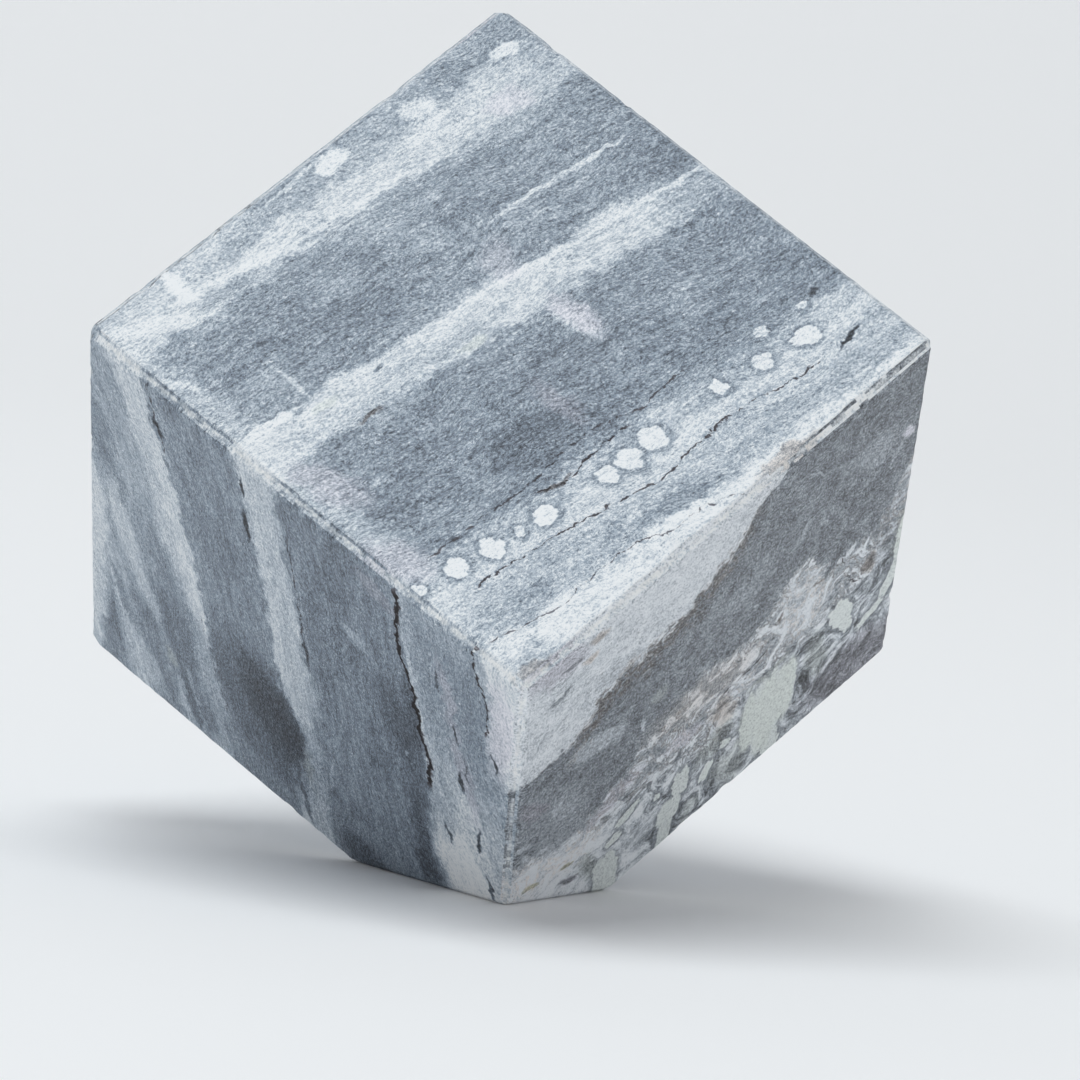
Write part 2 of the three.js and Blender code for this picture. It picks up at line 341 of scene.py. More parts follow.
RIGHT_MARKS = [
    Mark((10.5, 89.2), (14.6, 88.7), 0.5, 0.42, 0.8, 0.8),
    Mark((13.9, 87.6), (14.2, 86), 0.7, 0.97, 0.6, 0.9),
    Mark((16, 86.6), (18, 86.3), 1.2, 0.72, 0.8, 0.8, "brown"),
    Mark((17, 91.2), (20.5, 91), 1.1, 0.62, 0.8, 0.8, "brown"),
    Mark((8, 81.5), (11.5, 82.5), 1.3, 0.50, 0.7, 0.8),
    Mark((9, 82.8), (10.3, 82.8), 0.7, 0.95, 0.6, 0.9),
    Mark((6, 86.8), (13, 86.4), 0.4, 0.60, 0.9, 0.6),
    Mark((11.2, 68.8), (12, 68.4), 0.7, 0.98, 0.7, 0.9),
    Mark((12.8, 48), (11.3, 43), 0.5, 0.80, 0.8, 0.8),
    Mark((10.9, 48.2), (11.4, 44), 0.35, 0.76, 0.8, 0.7),
    Mark((33.0, 51.3), (33.1, 46.5), 0.5, 0.80, 0.8, 0.8),
    Mark((2, 42.7), (5, 41), 0.7, 0.80, 0.8, 0.8),
    Mark((4, 38.5), (5.2, 36.5), 0.6, 0.78, 0.8, 0.8),
    Mark((8, 35.7), (10.3, 35), 0.7, 0.80, 0.8, 0.8),
    Mark((71, 86), (75.7, 81.6), 0.3, 0.74, 0.8, 0.8),
    Mark((72.8, 71), (71.3, 66.5), 0.8, 0.70, 0.9, 0.8),
    Mark((76.5, 67), (77.5, 65), 0.8, 0.68, 0.9, 0.7),
    Mark((97.8, 73), (99, 71.5), 1.4, 0.88, 0.7, 0.9, "lilac"),
    Mark((97, 71), (94.6, 66.5), 0.8, 0.72, 0.8, 0.7),
    Mark((60, 57.5), (62, 56.5), 0.35, 0.74, 0.8, 0.7),
    Mark((51, 32.2), (56, 32.6), 0.7, 0.48, 0.9, 0.8),
    Mark((77, 47), (79.5, 46), 0.4, 0.42, 0.8, 0.8, "brown"),
    Mark((68.8, 46.5), (68, 44), 0.5, 0.42, 0.8, 0.8, "brown"),
    Mark((5, 27), (8, 25.4), 0.7, 0.66, 0.8, 0.8, "ochre"),
    Mark((14.5, 23.5), (17, 22.3), 0.6, 0.52, 0.8, 0.8, "ochre"),
    Mark((14.5, 18.7), (18.5, 16.2), 0.9, 0.42, 0.7, 0.9, "lilac"),
    Mark((37.9, 7.6), (39.2, 4.6), 0.5, 0.42, 0.8, 0.8),
    Mark((38, 22), (39.3, 21.5), 0.9, 0.50, 0.8, 0.8),
    Mark((24.5, 28.5), (26, 27), 0.9, 0.56, 0.8, 0.8),
]

# Pale greenish pebbles in the swirled stone low on the right side.
RIGHT_PEBBLES = [
    Mark((63.6, 26.0), (63.8, 10.0), 2.6, 0.80),
    Mark((67.5, 27.0), (68.0, 6.0), 3.8, 0.81),
    Mark((72.3, 26.5), (72.3, 11.0), 2.7, 0.80),
    Mark((69.5, 8.0), (70.0, 2.0), 2.2, 0.78),
    Mark((84.8, 31.0), (87.2, 26.0), 2.6, 0.86),
    Mark((87.2, 26.0), (88.6, 21.5), 1.4, 0.84),
    Mark((92.0, 18.3), (97.5, 21.0), 1.3, 0.82),
    Mark((98.0, 22.5), (101.0, 30.0), 1.6, 0.82),
    Mark((101.0, 30.0), (101.5, 44.0), 1.6, 0.80),
    Mark((26.0, 13.0), (27.2, 3.0), 3.0, 0.80),
    Mark((26.8, 17.6), (29.4, 18.4), 1.2, 0.84),
    Mark((29.0, 21.6), (33.6, 24.0), 1.3, 0.80),
    Mark((45.2, 20.6), (45.4, 15.0), 2.1, 0.82),
    Mark((43.0, 13.0), (42.6, 9.0), 2.8, 0.82),
    Mark((42.2, 8.0), (42.0, 0.0), 1.7, 0.78),
    Mark((51.6, 12.2), (52.8, 15.5), 1.3, 0.92),
    Mark((38.6, 20.0), (39.4, 19.6), 0.8, 0.84),
    Mark((57.5, 17.5), (56.0, 18.5), 0.9, 0.80),
]

# Open cracks: (point, point, ...) across a side, with the half width and how dark it is; the darkness is
# partly the crack's brown and partly painted shade inside the open crack. On the upper side a point is
# (X, Y), on the left side (Z, Y) and on the right side (X, Z).
Crack = namedtuple("Crack", "path width dark", defaults=(0.8,))

UPPER_CRACKS = [
    Crack(((9, 19.7), (15, 19), (22, 18.2), (27, 17.2), (33, 16.2), (41, 14.3), (46, 13.2), (50, 13.2),
           (56, 13.9), (62, 14), (71, 13.3), (76, 12), (85, 10.9)), 0.26, 0.75),
    Crack(((3, 10.2), (9, 8.9), (14, 7.4), (18, 7), (22, 7.5), (30, 7.7), (36, 6.8), (40, 5.2),
           (47, 4.2), (51, 3.2), (56, 1.2)), 0.2, 0.6),
    Crack(((30, 26), (32, 25.3), (34, 24.3), (37, 23.8), (41, 24.7), (46, 24.7), (51, 24.4)), 0.32),
    Crack(((8, 29), (20, 28.6), (31, 27.7), (36, 28.3), (43, 28.6), (50, 27.4), (54, 26), (60, 25.8),
           (67, 26.5)), 0.22, 0.6),
]

LEFT_CRACKS = [
    Crack(((45, 19.2), (50, 19.3), (54, 20), (58, 21.5), (64, 23), (68, 24), (72, 25.5), (76, 27.3),
           (80, 28), (85, 28.6), (93, 29.3)), 0.75, 0.95),
    Crack(((73, 7), (77, 7.2), (81, 7.5), (85, 9), (90, 11), (95, 11.4)), 0.4, 0.85),
    Crack(((78, 84), (81, 84.6), (85, 86), (89, 87), (94, 88.6)), 0.3, 0.6),
    Crack(((50, 48), (56, 49.8), (63, 50.7), (72, 52.5), (82, 54.6)), 0.28, 0.6),
    Crack(((2, 62), (12, 66), (24, 70.5), (38, 75)), 0.22, 0.3),
]

RIGHT_CRACKS = [
    Crack(((54, 35.7), (57, 36.2), (61, 36.7), (64, 37.5), (66, 39), (67.5, 41.5)), 0.4, 0.6),
    Crack(((83.5, 48.5), (84.5, 46), (85.5, 42), (86.5, 39.5), (88.5, 37), (90.5, 34.5)), 0.5, 0.8),
    Crack(((0, 61.2), (6, 62.6), (12, 63), (18, 65.8), (23, 69.5), (26, 71.5)), 0.3, 0.35),
]

# The right side's regions: (X, Z) along the border of each.
CHARCOAL_TOP = (
    (0, 61.5), (6, 63), (12, 63.5), (18, 66), (22, 71), (26, 72.5), (32, 71.5), (38, 73), (43, 75),
    (48, 79), (53, 83), (58, 89), (64, 95), (80, 104), (102, 112),
)
CHARCOAL_BOTTOM = (
    (0, 40), (5, 37), (10, 32), (15, 31), (20, 32.5), (25, 36), (32, 40), (41, 45), (48, 47.5), (60, 47.5),
    (65, 49.5), (70, 56), (74, 57.5), (78, 53), (82.5, 47.5), (90, 48), (95, 50), (98, 57), (102, 70),
)
SWIRL_TOP = (
    (0, 27), (8, 26), (14, 23), (19, 20.5), (23, 25), (28, 29), (37, 28), (46, 27.5), (51, 23),
    (56, 25), (62, 31), (72, 31), (80, 34), (88, 35), (95, 39), (102, 44),
)

# The beds that the block is sawn from: how far up the stack a bed lies, in millimetres, and its tone.
BEDS = [
    (-12, 0.84), (0, 0.90), (3, 0.95), (8.6, 0.94), (9.8, 0.78), (12, 0.71), (16, 0.75), (19.5, 0.76),
    (21, 0.83), (23.6, 0.86), (24.8, 0.75), (28.7, 0.76), (29.8, 0.63), (34, 0.60), (40, 0.57),
    (47, 0.585), (54, 0.59), (58.0, 0.62), (59.2, 0.80), (64, 0.85), (67.5, 0.87), (68.6, 0.62),
    (75, 0.61), (82, 0.60), (88, 0.62), (91.0, 0.66), (91.9, 0.87), (96, 0.88), (98.5, 0.78),
    (100.5, 0.69), (105, 0.68), (110, 0.74),
]
DEEPER_BEDS = [
    (110, 0.72), (114, 0.62), (121, 0.56), (125, 0.70), (129, 0.83), (133, 0.72), (138, 0.58),
    (146, 0.60), (150, 0.76), (154, 0.66), (162, 0.56), (172, 0.62), (176, 0.8), (182, 0.62),
]

# How the beds lie: they dip by DIP towards the under side and slope by SLOPE across X. Both change with
# the square of the way from a middle Y.
DIP, DIP_GROWTH, DIP_MIDDLE = 0.19, 0.00008, 33.0
SLOPE, SLOPE_GROWTH, SLOPE_MIDDLE = 0.122, -0.00003, 45.0
FIBRE_SLOPE = 0.12

# How strongly the finer patterns show on a pair of sides, and the contrast of the whole: the pivot
# tone is moved to the level, and the others spread or close up about it.
SideLook = namedtuple("SideLook", "mottling grain contrast pivot level")
SIDE_LOOKS = {
    "upper": SideLook(mottling=0.20, grain=1.45, contrast=1.08, pivot=0.61, level=0.597),
    "left": SideLook(mottling=0.18, grain=1.2, contrast=1.12, pivot=0.74, level=0.68),
    "right": SideLook(mottling=0.42, grain=2.1, contrast=1.12, pivot=0.85, level=0.84),
}

# The stone's colour at each tone.
STONE_COLOURS = [
    (0.00, (8, 8, 9)),
    (0.15, (32, 34, 38)),
    (0.30, (70, 75, 84)),
    (0.475, (110, 120, 132)),
    (0.61, (140, 154, 169)),
    (0.68, (160, 173, 186)),
    (0.75, (180, 191, 202)),
    (0.84, (205, 214, 222)),
    (0.92, (229, 234, 237)),
    (1.00, (246, 248, 249)),
]
WARM_GREY = (146, 149, 153)  # the right side's cast
# The hue of the cracks: their brown, which goes with the painted shade inside the open crack.
CRACK_BROWN_AND_SHADE = (60, 52, 50)
BRUISED = (172, 171, 168)
# Tints of some marks: how strong each is, and its colour.
TINTS = {
    "lilac": (0.45, (196, 190, 202)),
    "green": (0.50, (184, 190, 184)),
    "brown": (0.60, (150, 138, 128)),
    "ochre": (0.70, (150, 145, 115)),
}


def linear(channels):
    """The linear colour of a screen colour given as three numbers from 0 to 255."""
    shares = [channel / 255 for channel in channels]
    curve = [s / 12.92 if s <= 0.04045 else ((s + 0.055) / 1.055) ** 2.4 for s in shares]
    return (*curve, 1.0)


# --- Shader sums -----------------------------------------------------------------------------------


class Wire:
    """A socket of the material being wired. Sums on wires add the Math nodes that work them out."""

    tree = None

    def __init__(self, socket):
        self.socket = socket

    @classmethod
    def node(cls, kind, settings=None, values=None, output=0):
        """Adds a node: its settings first, then the values and links of its sockets."""
        made = cls.tree.nodes.new(kind)
        for name, setting in (settings or {}).items():
            if name == "stops":
                set_stops(made.color_ramp, setting)
            elif name == "points":
                set_points(made.mapping, setting)
            else:
                setattr(made, name, setting)
        for key, value in (values or {}).items():
            if isinstance(value, Wire):
                cls.tree.links.new(value.socket, made.inputs[key])
            else:
                made.inputs[key].default_value = value
        return cls(made.outputs[output]) if made.outputs else None

    @classmethod
    def math(cls, operation, *terms):
        """A Math node on wires and numbers."""
        return cls.node("ShaderNodeMath", {"operation": operation}, dict(enumerate(terms)))

    def __add__(self, other):
        return Wire.math("ADD", self, other)

    def __radd__(self, other):
        return Wire.math("ADD", other, self)

    def __sub__(self, other):
        return Wire.math("SUBTRACT", self, other)

    def __rsub__(self, other):
        return Wire.math("SUBTRACT", other, self)

    def __mul__(self, other):
        return Wire.math("MULTIPLY", self, other)

    def __rmul__(self, other):
        return Wire.math("MULTIPLY", other, self)

    def __truediv__(self, other):
        return Wire.math("DIVIDE", self, other)

    def __rtruediv__(self, other):
        return Wire.math("DIVIDE", other, self)

    def __abs__(self):
        return Wire.math("ABSOLUTE", self)


def set_stops(ramp, stops):
    """Gives a colour ramp its stops: (position, colour)."""
    while len(ramp.elements) < len(stops):
        ramp.elements.new(1.0)
    for element, (position, colour) in zip(ramp.elements, stops):
        element.position = position
        element.color = colour


def set_points(mapping, points):
    """Gives a curve its points: (along, across)."""
    mapping.use_clip = False
    curve = mapping.curves[0]
    for along, across in points[1:-1]:
        curve.points.new(along, across)
    for point, place in zip((curve.points[0], curve.points[-1]), (points[0], points[-1])):
        point.location = place
    mapping.update()


def vector_math(operation, *terms, output=0):
    """A Vector Math node. Its output 1 is a number, as of a dot product."""
    return Wire.node("ShaderNodeVectorMath", {"operation": operation}, dict(enumerate(terms)), output)


def combine(x, y, z):
    """A vector of three numbers."""
    return Wire.node("ShaderNodeCombineXYZ", None, {0: x, 1: y, 2: z})


def split(vector):
    """A vector's three numbers."""
    numbers = Wire.node("ShaderNodeSeparateXYZ", None, {0: vector}).socket.node.outputs
    return [Wire(number) for number in numbers]


def smooth(value, start, end, low=0.0, high=1.0):
    """Eases from low to high as the value goes from start to end."""
    settings = {"interpolation_type": "SMOOTHSTEP", "clamp": False}
    values = {"Value": value, "From Min": start, "From Max": end, "To Min": low, "To Max": high}
    return Wire.node("ShaderNodeMapRange", settings, values)


def mix(amount, first, second):
    """The first number, giving way to the second by the amount."""
    return Wire.node("ShaderNodeMix", {"data_type": "FLOAT"}, {0: amount, 2: first, 3: second})


def stain(amount, colour, tint):
    """The colour, drawn to the tint's hue by the amount. It stays as light as it was."""
    settings = {"data_type": "RGBA", "blend_type": "COLOR"}
    return Wire.node("ShaderNodeMix", settings, {0: amount, 6: colour, 7: linear(tint)}, 2)


def cloud(place, scale, detail=3.0, rough=0.55, distortion=0.0):
    """Noise from 0 to 1 about a middle of 0.5. Scale is in cycles per millimetre."""
    values = {
        "Vector": place, "Scale": scale, "Detail": detail, "Roughness": rough, "Distortion": distortion,
    }
    return Wire.node("ShaderNodeTexNoise", {"noise_dimensions": "3D"}, values)


def cloud_shift(place, scale, reach, detail=2.0):
    """Pushes a place about by up to the reach, in millimetres."""
    values = {"Vector": place, "Scale": scale, "Detail": detail, "Roughness": 0.55}
    colour = Wire.node("ShaderNodeTexNoise", {"noise_dimensions": "3D"}, values, 1)
    centred = vector_math("SUBTRACT", colour, (0.5, 0.5, 0.5))
    return vector_math("MULTIPLY_ADD", centred, (2 * reach,) * 3, place)


# --- The stone -------------------------------------------------------------------------------------


def group_of(name, inputs, outputs, wire_inside):
    """A node group. wire_inside is given its inputs as wires, and returns its outputs."""
    tree = bpy.data.node_groups.new(name, "ShaderNodeTree")
    for label, kind in inputs:
        tree.interface.new_socket(label, in_out="INPUT", socket_type=kind)
    for label, kind in outputs:
        tree.interface.new_socket(label, in_out="OUTPUT", socket_type=kind)
    outside = Wire.tree
    Wire.tree = tree
    entry = tree.nodes.new("NodeGroupInput")
    results = wire_inside(*[Wire(entry.outputs[label]) for label, kind in inputs])
    leave = tree.nodes.new("NodeGroupOutput")
    for (label, kind), result in zip(outputs, results):
        tree.links.new(result.socket, leave.inputs[label])
    Wire.tree = outside
    return tree


VECTOR, FLOAT = "NodeSocketVector", "NodeSocketFloat"
MARK_INPUTS = (
    ("Place", VECTOR),
    ("Zoom", VECTOR),
    ("Middle", VECTOR),
    ("Lean", VECTOR),
    ("Outside", FLOAT),
    ("Inside", FLOAT),
    ("Strength", FLOAT),
    ("Mark", VECTOR),
    ("Layer", VECTOR),
)
MARK_OUTPUTS = (("Layer", VECTOR), ("Amount", FLOAT))


def wire_mark(place, zoom, middle, lean, outside, inside, strength, mark, layer):
    """A long oval mark laid over a layer, whose X is tone and whose Y is how much it covers."""
    offset = vector_math("MULTIPLY_ADD", place, zoom, middle)
    reach = vector_math("DOT_PRODUCT", offset, offset, output=1)
    along = vector_math("DOT_PRODUCT", offset, lean, output=1)
    amount = smooth(reach - along * along, outside, inside, 0.0, strength)
    settings = {"data_type": "VECTOR", "clamp_factor": False}
    return Wire.node("ShaderNodeMix", settings, {0: amount, 4: layer, 5: mark}, 1), amount


class Layer:
    """Marks laid one over another: their tone, how much they cover, and the tints in them."""

    def __init__(self):
        self.wire = (0.0, 0.0, 0.0)
        self.tints = {}

    def add(self, place, marks):
        """Lays marks on the layer, each over those before it."""
        tree = bpy.data.node_groups.get("mark")
        if tree is None:
            tree = group_of("mark", MARK_INPUTS, MARK_OUTPUTS, wire_mark)
        for mark in marks:
            start, end = Vector((*mark.start, 0.0)), Vector((*mark.end, 0.0))
            run = end - start
            stretch = mark.width / (run.length / 2 + mark.width * 0.7)
            values = {
                "Place": place,
                "Zoom": (1 / mark.width,) * 3,
                "Middle": tuple((start + end) / (-2 * mark.width)),
                "Lean": tuple(run.normalized() * math.sqrt(max(0.0, 1 - stretch * stretch))),
                "Outside": (1 + mark.soft / 2.5) ** 2,
                "Inside": (1 - mark.soft * 0.8) ** 2,
                "Strength": mark.strength,
                "Mark": (mark.tone, 1.0, 0.0),
                "Layer": self.wire,
            }
            self.wire = Wire.node("ShaderNodeGroup", {"node_tree": tree}, values)
            if mark.tint:
                amount = Wire(self.wire.socket.node.outputs["Amount"])
                self.tints[mark.tint] = Wire.math("MAXIMUM", self.tints.get(mark.tint, 0.0), amount)

    def over(self, tone):
        """The tone with this layer laid over it."""
        own, cover = split(self.wire)[:2]
        return tone * (1.0 - cover) + own


def rimmed(pebbles, rim_tone, rim, tint):
    """The pebbles as marks: a darker rim, and on it two long ovals side by side with uneven ends."""
    marks = [Mark(p.start, p.end, p.width * rim + 0.9, rim_tone, 0.4, 0.85) for p in pebbles]
    uneven = random.Random(SEED)
    for p in pebbles:
        start, end = Vector(p.start), Vector(p.end)
        ahead = (end - start).normalized()
        aside = Vector((-ahead.y, ahead.x)) * p.width * 0.4
        for lean in (aside, -aside):
            first = start + lean - ahead * p.width * uneven.uniform(0.1, 0.35)
            last = end + lean + ahead * p.width * uneven.uniform(0.1, 0.35)
            marks.append(Mark(tuple(first), tuple(last), p.width * 0.7, p.tone + 0.1, 0.2, 1.0, tint))
    return marks


def wire_path(along, path, size):
    """How far across a side a line lies, given how far along the side it is."""
    points = [(a / size, b / size) for a, b in path]
    return Wire.node("ShaderNodeFloatCurve", {"points": points}, {"Value": along / size}) * size


def wire_cracks(along, across, cracks, size, uneven):
    """How open the stone is: 1 in a crack and 0 off it."""
    opening = 0.0
    for crack in cracks:
        first, last = crack.path[0][0], crack.path[-1][0]
        away = abs(across - wire_path(along, crack.path, size))
        thinnest = 0.45 if crack.dark > 0.9 else 0.04
        half = smooth(uneven, 0.40, 0.64, thinnest, 1.4) * crack.width
        inside = smooth(away / half, 1.0, 0.3, 0.0, crack.dark)
        ends = smooth(along, first - 1, first + 1) * smooth(along, last + 1, last - 1)
        opening = Wire.math("MAXIMUM", opening, inside * ends)
    return opening


def bed_tones(bed, beds):
    """The tone of the stone at a height up the stack of beds."""
    low, high = beds[0][0], beds[-1][0]
    stops = [((at - low) / (high - low), (tone,) * 4) for at, tone in beds]
    share = (bed - low) / (high - low)
    return Wire.node("ShaderNodeValToRGB", {"stops": stops}, {0: share}, 1)


def wire_right_regions(u, v, place, tone):
    """The right side: pale stone, a charcoal mass, a pinkish band and swirled greenish stone."""
    size = AXES.sides[0]
    ragged = (cloud(place, 0.22, 7.0, 0.82, 0.5) - 0.5) * 22.0
    ragged = ragged + (cloud(place, 0.09, 3.0) - 0.5) * 9.0
    swirl = cloud(place, 0.13, 6.0, 0.68, 2.0) - 0.5
    above = v + ragged - wire_path(u, CHARCOAL_TOP, size)
    below = v + ragged * 0.8 - wire_path(u, CHARCOAL_BOTTOM, size)
    deep = v + ragged * 0.6 - wire_path(u, SWIRL_TOP, size)
    tone = mix(0.85, tone, 0.86 + swirl * 0.7)
    tone = mix(smooth(above, 0.6, -0.6), tone, 0.52 + swirl * 0.6)
    tone = mix(smooth(below, 0.6, -0.6), tone, 0.79 + swirl * 1.1)
    tone = mix(smooth(deep, 0.7, -0.7), tone, 0.69 + swirl * 2.3)
    edge = smooth(abs(above + 2.5), 5.0, 1.5) * smooth(u, 12, 18) * smooth(u, 64, 52)
    veins = smooth(abs(swirl), 0.028, 0.0) * smooth(deep, -4, 2) * smooth(below, 1, -1)
    clotted = smooth(cloud(place, 0.5, 4.0, 0.75, 1.0), 0.42, 0.54)
    brown = Wire.math("MAXIMUM", edge * clotted, veins)
    tone = mix(brown * 0.85, tone, 0.40)
    outline = smooth(abs(cloud(place, 0.2, 3.0, 0.55, 2.5) - 0.5), 0.03, 0.0) * smooth(deep, 0, -2)
    relief = swirl * smooth(below, 0.6, -0.6)
    return mix(outline * 0.5, tone, 0.86), brown, relief


def wire_place():
    """The place in the stone in the block's own axes, in millimetres."""
    turn = AXES.from_row
    values = {
        "Vector": Wire.node("ShaderNodeTexCoord", None, None, "Object"),
        "Location": tuple(turn.to_translation()),
        "Rotation": tuple(turn.to_euler("XYZ")),
        "Scale": (1 / MM,) * 3,
    }
    return Wire.node("ShaderNodeMapping", {"vector_type": "POINT"}, values)


def wire_lean(across, least, growth, middle):
    """A lean that changes with the square of the way from the middle."""
    away = across - middle
    return Wire.math("MULTIPLY_ADD", away * away, growth, least)


def wire_to_edge(x, y, z):
    """How far the nearest edge of the block is."""
    side_x, side_y, side_z = AXES.sides
    gap_x = Wire.math("MINIMUM", x, side_x - x)
    gap_y = Wire.math("MINIMUM", y, side_y - y)
    gap_z = Wire.math("MINIMUM", z, side_z - z)
    nearer = Wire.math("MINIMUM", gap_x, gap_y)
    farther = Wire.math("MAXIMUM", gap_x, gap_y)
    return Wire.math("MAXIMUM", nearer, Wire.math("MINIMUM", farther, gap_z))


def wire_fibre_places(side, place):
    """Two places for noise, drawn out along the beds: for long streaks and for short fibres."""
    x, y, z = split(place)
    if side == "right":
        return combine(x * 0.5, y, z), place
    depth = AXES.sides[2] - z
    wave = (cloud(place, 0.04, 2.0) - 0.5) * 7.0
    dip = wire_lean(y, DIP, DIP_GROWTH, DIP_MIDDLE)
    across = y + x * FIBRE_SLOPE + depth * dip + wave
    return [combine(x * pull, across, depth * pull + y * 0.05) for pull in (0.22, 0.60)]


def wire_colour(side, tone, brown, layers, opening, worn):
    """The stone's colour at a tone, with its stains, and the brown of its cracks that goes with their
    painted shade.
    """
    stops = [(at, linear(colour)) for at, colour in STONE_COLOURS]
    colour = Wire.node("ShaderNodeValToRGB", {"stops": stops}, {0: tone})
    if side == "right":
        colour = stain(0.55, colour, WARM_GREY)
        colour = stain(brown * 0.5, colour, TINTS["brown"][1])
    for layer in layers:
        for name, amount in layer.tints.items():
            strength, tint = TINTS[name]
            colour = stain(amount * strength, colour, tint)
    # Cracks drawn to brown; their darkness is partly painted shade inside the open crack.
    colour = stain(opening * 0.6, colour, CRACK_BROWN_AND_SHADE)
    return stain(worn * 0.35, colour, BRUISED)


def wire_stone(side):
    """Wires the marble of one pair of sides: beds, clouds with painted light near the foot, marks, grain,
    cracks with painted shade, and worn edges.
    """
    look = SIDE_LOOKS[side]
    side_x, side_y, side_z = AXES.sides
    place = wire_place()
    x, y, z = split(place)
    soft = cloud_shift(cloud_shift(place, 0.07, 2.4, 3.0), 0.33, 2.7, 6.0)
    fine = cloud_shift(place, 0.42, 1.4, 4.0)
    sx, sy, sz = split(soft)
    fx, fy, fz = split(fine)

    # Beds: a stack that dips away from the upper side.
    along = sx * wire_lean(sy, SLOPE, SLOPE_GROWTH, SLOPE_MIDDLE)
    down = (side_z - sz) * wire_lean(sy, DIP, DIP_GROWTH, DIP_MIDDLE)
    bed = sy + along + down
    high = BEDS[-1][0]
    tone = mix(smooth(bed, high, high + 0.5), bed_tones(bed, BEDS), bed_tones(bed, DEEPER_BEDS))

    # Streaks drawn out along the beds, and cloudy patches.
    streak_place, fibre_place = wire_fibre_places(side, place)
    streak = cloud(streak_place, 0.55, 5.0, 0.66) - 0.5
    broad_streak = cloud(streak_place, 0.16, 3.0, 0.5) - 0.5
    patch = cloud(place, 0.055, 3.0, 0.6) - 0.5
    tone = tone + streak * 0.28 + broad_streak * 0.20 + patch * 0.14

    # Where this pair of sides has its clouds, finer marks and cracks; on the left and right sides the
    # clouds include patches of painted light near the foot. Both sides of a pair have the same ones: the
    # under and far sides further along the beds, and the back side the other way round.
    brown = relief = 0.0
    if side == "upper":
        u, v = fx, fy + (side_z - fz) * DIP
        soft_place = combine(sx, sy + down, 0.0)
        crack_lines = (u, v, UPPER_CRACKS, side_x)
        clouds = UPPER_CLOUDS
        details = rimmed(UPPER_PEBBLES, 0.58, 1.25, None) + UPPER_MARKS
    elif side == "left":
        u, v = fy + fx * FIBRE_SLOPE, fz
        soft_place = combine(sy + along, sz, 0.0)
        crack_lines = (v, u, LEFT_CRACKS, side_y)
        clouds = LEFT_CLOUDS_AND_PAINTED_LIGHT
        details = LEFT_MARKS
    else:
        at_back = smooth(y, side_y / 2, side_y / 2 + 1)
        u, v = mix(at_back, fx, side_x - fx), fz
        soft_u = mix(at_back, sx, side_x - sx)
        soft_place = combine(soft_u, sz, 0.0)
        crack_lines = (u, v, RIGHT_CRACKS, side_x)
        clouds = RIGHT_CLOUDS_AND_PAINTED_LIGHT
        details = rimmed(RIGHT_PEBBLES, 0.50, 1.15, "green") + RIGHT_MARKS
        tone, brown, relief = wire_right_regions(soft_u, sz, place, tone)

    lower_layer, upper_layer = Layer(), Layer()
    lower_layer.add(soft_place, clouds)
    upper_layer.add(combine(u, v, 0.0), details)
    mottle = cloud(place, 0.42, 4.0, 0.75) - 0.5
    tone = lower_layer.over(tone) + streak * 0.17 + mottle * look.mottling
    if side == "right":
        tone = tone + relief * 1.1
    tone = upper_layer.over(tone)
    tone = (tone - look.pivot) * look.contrast + look.level

    # Crystal grain: short pale and dark fibres, and fine specks.
    grain = cloud(fibre_place, 2.4, 3.0, 0.85) - 0.5
    dash = cloud(streak_place, 1.6, 4.0, 0.8) - 0.5
    tangle = cloud(fibre_place, 0.9, 3.0, 0.75, 2.0)
    pale_fibre = smooth(abs(tangle - 0.5), 0.028, 0.0)
    dark_fibre = smooth(abs(tangle - 0.43), 0.02, 0.0)
    fleck = smooth(dash, 0.10, 0.18)
    fibres = pale_fibre * 0.26 - dark_fibre * 0.20 - fleck * 0.20
    tone = tone + (grain * 0.86 + dash * 0.52) * look.grain + fibres

    # Cracks, darkened: partly the brown in them and partly painted shade inside the open crack.
    uneven = cloud(place, 0.55, 3.0, 0.7)
    opening = wire_cracks(*crack_lines, uneven)
    tone = mix(opening, tone, 0.15)

    # Bruised, paler stone along the ground edges.
    worn = smooth(wire_to_edge(x, y, z) + (uneven - 0.5) * 1.6, 1.3, 0.7)
    tone = mix(worn * 0.6, tone, 0.94 + grain * 0.5)

    values = {"Strength": 0.5, "Distance": 0.0005, "Height": grain * 0.36 - opening * 1.6}
    bump = Wire.node("ShaderNodeBump", None, values)
    finish = {
        "Base Color": wire_colour(side, tone, brown, (lower_layer, upper_layer), opening, worn),
        "Roughness": smooth(mottle, -0.2, 0.2, 0.46, 0.62) + opening * 0.3 + worn * 0.1,
        "Normal": bump,
        "Metallic": 0.0,
        "IOR": 1.49,
        "Specular IOR Level": 0.35,
    }
    shader = Wire.node("ShaderNodeBsdfPrincipled", None, finish)
    Wire.node("ShaderNodeOutputMaterial", None, {"Surface": shader})


def stone_material(side):
    """The stone's material for one pair of sides."""
    material = bpy.data.materials.new(f"honed_marble_{side}")
    material.use_nodes = True
    material.node_tree.nodes.clear()
    Wire.tree = material.node_tree
    wire_stone(side)
    return material


def cut_places(length, settings):
    """Where to cut the block across one of its axes: closely near its two ends, wider between."""
    fine, wide, margin = settings.edge_step / MM, settings.face_step / MM, settings.edge_band / MM
    near = [fine * step for step in range(int(margin / fine) + 1)]
    count = round((length - 2 * margin) / wide)
    middle = [margin + (length - 2 * margin) * step / count for step in range(1, count)]
    return near[1:] + middle + [length - place for place in reversed(near[1:])]


